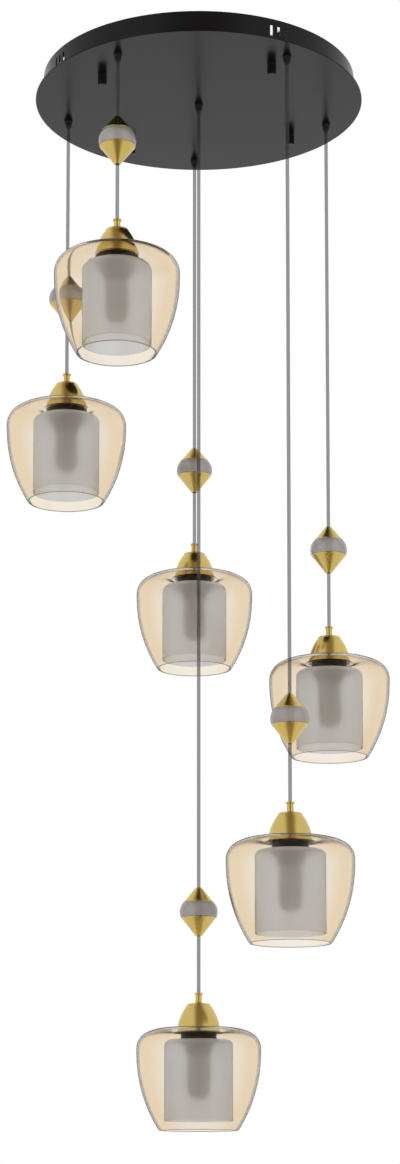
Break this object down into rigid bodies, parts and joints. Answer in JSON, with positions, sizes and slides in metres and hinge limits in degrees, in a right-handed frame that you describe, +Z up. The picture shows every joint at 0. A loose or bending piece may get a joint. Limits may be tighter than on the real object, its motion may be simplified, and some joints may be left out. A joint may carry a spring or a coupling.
{
  "type": "cluster pendant light",
  "caption": "Ceiling cluster pendant: a round black canopy with glass bell shades on straight cords at stepped heights, each with a double-cone ornament and an inner glass cylinder.",
  "frame": {"origin": "middle of the four ceiling screws, on the ceiling face of the mounting cross", "axes": "+Z up into the ceiling; +X to the right and +Y away as the picture sees the lamp"},
  "size_m": [0.5852, 0.5656, 1.606],
  "materials": {
    "black_coat": "satin",
    "black_nut": "satin",
    "zinc_steel": "zinc plated",
    "black_plastic": "fine grain",
    "white_plastic": "moulded",
    "cord_sheath": "extruded sheath",
    "brass": "polished",
    "smoke_glass": "clear smoke tint",
    "champagne_glass": "clear champagne tint",
    "lamp_glass": "clear"
  },
  "bodies": {
    "root": {"canopy_ring": "black_coat", "ceiling_cross": "zinc_steel", "cross_screws": "zinc_steel", "plate_studs": "zinc_steel", "cover_plate": "black_coat", "finial_nuts": "black_nut", "cord_grips": "black_plastic", "grip_nuts": "black_plastic", "terminal_block": "white_plastic", "cord_tails": "cord_sheath"},
    "swing_1": {"cord_1": "cord_sheath"},
    "pendant_1": {"bead_caps_1": "brass", "bead_glass_1": "smoke_glass", "cup_1": "brass", "lampholder_1": "black_plastic", "outer_glass_1": "champagne_glass", "inner_glass_1": "smoke_glass", "bulb_1": "lamp_glass"},
    "swing_2": {"cord_2": "cord_sheath"},
    "pendant_2": {"bead_caps_2": "brass", "bead_glass_2": "smoke_glass", "cup_2": "brass", "lampholder_2": "black_plastic", "outer_glass_2": "champagne_glass", "inner_glass_2": "smoke_glass", "bulb_2": "lamp_glass"},
    "swing_3": {"cord_3": "cord_sheath"},
    "pendant_3": {"bead_caps_3": "brass", "bead_glass_3": "smoke_glass", "cup_3": "brass", "lampholder_3": "black_plastic", "outer_glass_3": "champagne_glass", "inner_glass_3": "smoke_glass", "bulb_3": "lamp_glass"},
    "swing_4": {"cord_4": "cord_sheath"},
    "pendant_4": {"bead_caps_4": "brass", "bead_glass_4": "smoke_glass", "cup_4": "brass", "lampholder_4": "black_plastic", "outer_glass_4": "champagne_glass", "inner_glass_4": "smoke_glass", "bulb_4": "lamp_glass"},
    "swing_5": {"cord_5": "cord_sheath"},
    "pendant_5": {"bead_caps_5": "brass", "bead_glass_5": "smoke_glass", "cup_5": "brass", "lampholder_5": "black_plastic", "outer_glass_5": "champagne_glass", "inner_glass_5": "smoke_glass", "bulb_5": "lamp_glass"},
    "swing_6": {"cord_6": "cord_sheath"},
    "pendant_6": {"bead_caps_6": "brass", "bead_glass_6": "smoke_glass", "cup_6": "brass", "lampholder_6": "black_plastic", "outer_glass_6": "champagne_glass", "inner_glass_6": "smoke_glass", "bulb_6": "lamp_glass"}
  },
  "joints": [
    {"name": "pendant_1_swing", "type": "hinge", "parent": "root", "child": "swing_1", "pos_m": [-0.12432, -0.17111, -0.048], "axis": [-0.809, 0.5878, 0], "range_deg": [-3, 8]},
    {"name": "pendant_1_height", "type": "slide", "parent": "swing_1", "child": "pendant_1", "axis": [0, 0, 1], "range_m": [0, 0.06], "deforming": ["cord_1"]},
    {"name": "pendant_2_swing", "type": "hinge", "parent": "root", "child": "swing_2", "pos_m": [-0.20115, 0.06536, -0.048], "axis": [0.309, 0.9511, 0], "range_deg": [-3, 8]},
    {"name": "pendant_2_height", "type": "slide", "parent": "swing_2", "child": "pendant_2", "axis": [0, 0, 1], "range_m": [0, 0.2], "deforming": ["cord_2"]},
    {"name": "pendant_3_swing", "type": "hinge", "parent": "root", "child": "swing_3", "pos_m": [0, 0.2115, -0.048], "axis": [1, 0, 0], "range_deg": [-3, 8]},
    {"name": "pendant_3_height", "type": "slide", "parent": "swing_3", "child": "pendant_3", "axis": [0, 0, 1], "range_m": [0, 0.25], "deforming": ["cord_3"]},
    {"name": "pendant_4_swing", "type": "hinge", "parent": "root", "child": "swing_4", "pos_m": [0.20115, 0.06536, -0.048], "axis": [0.309, -0.9511, 0], "range_deg": [-3, 8]},
    {"name": "pendant_4_height", "type": "slide", "parent": "swing_4", "child": "pendant_4", "axis": [0, 0, 1], "range_m": [0, 0.25], "deforming": ["cord_4"]},
    {"name": "pendant_5_swing", "type": "hinge", "parent": "root", "child": "swing_5", "pos_m": [0.12432, -0.17111, -0.048], "axis": [-0.809, -0.5878, 0], "range_deg": [-3, 8]},
    {"name": "pendant_5_height", "type": "slide", "parent": "swing_5", "child": "pendant_5", "axis": [0, 0, 1], "range_m": [0, 0.25], "deforming": ["cord_5"]},
    {"name": "pendant_6_swing", "type": "hinge", "parent": "root", "child": "swing_6", "pos_m": [0, 0, -0.048], "axis": [-1, 0, 0], "range_deg": [-3, 3]},
    {"name": "pendant_6_height", "type": "slide", "parent": "swing_6", "child": "pendant_6", "axis": [0, 0, 1], "range_m": [0, 0.25], "deforming": ["cord_6"]}
  ]
}
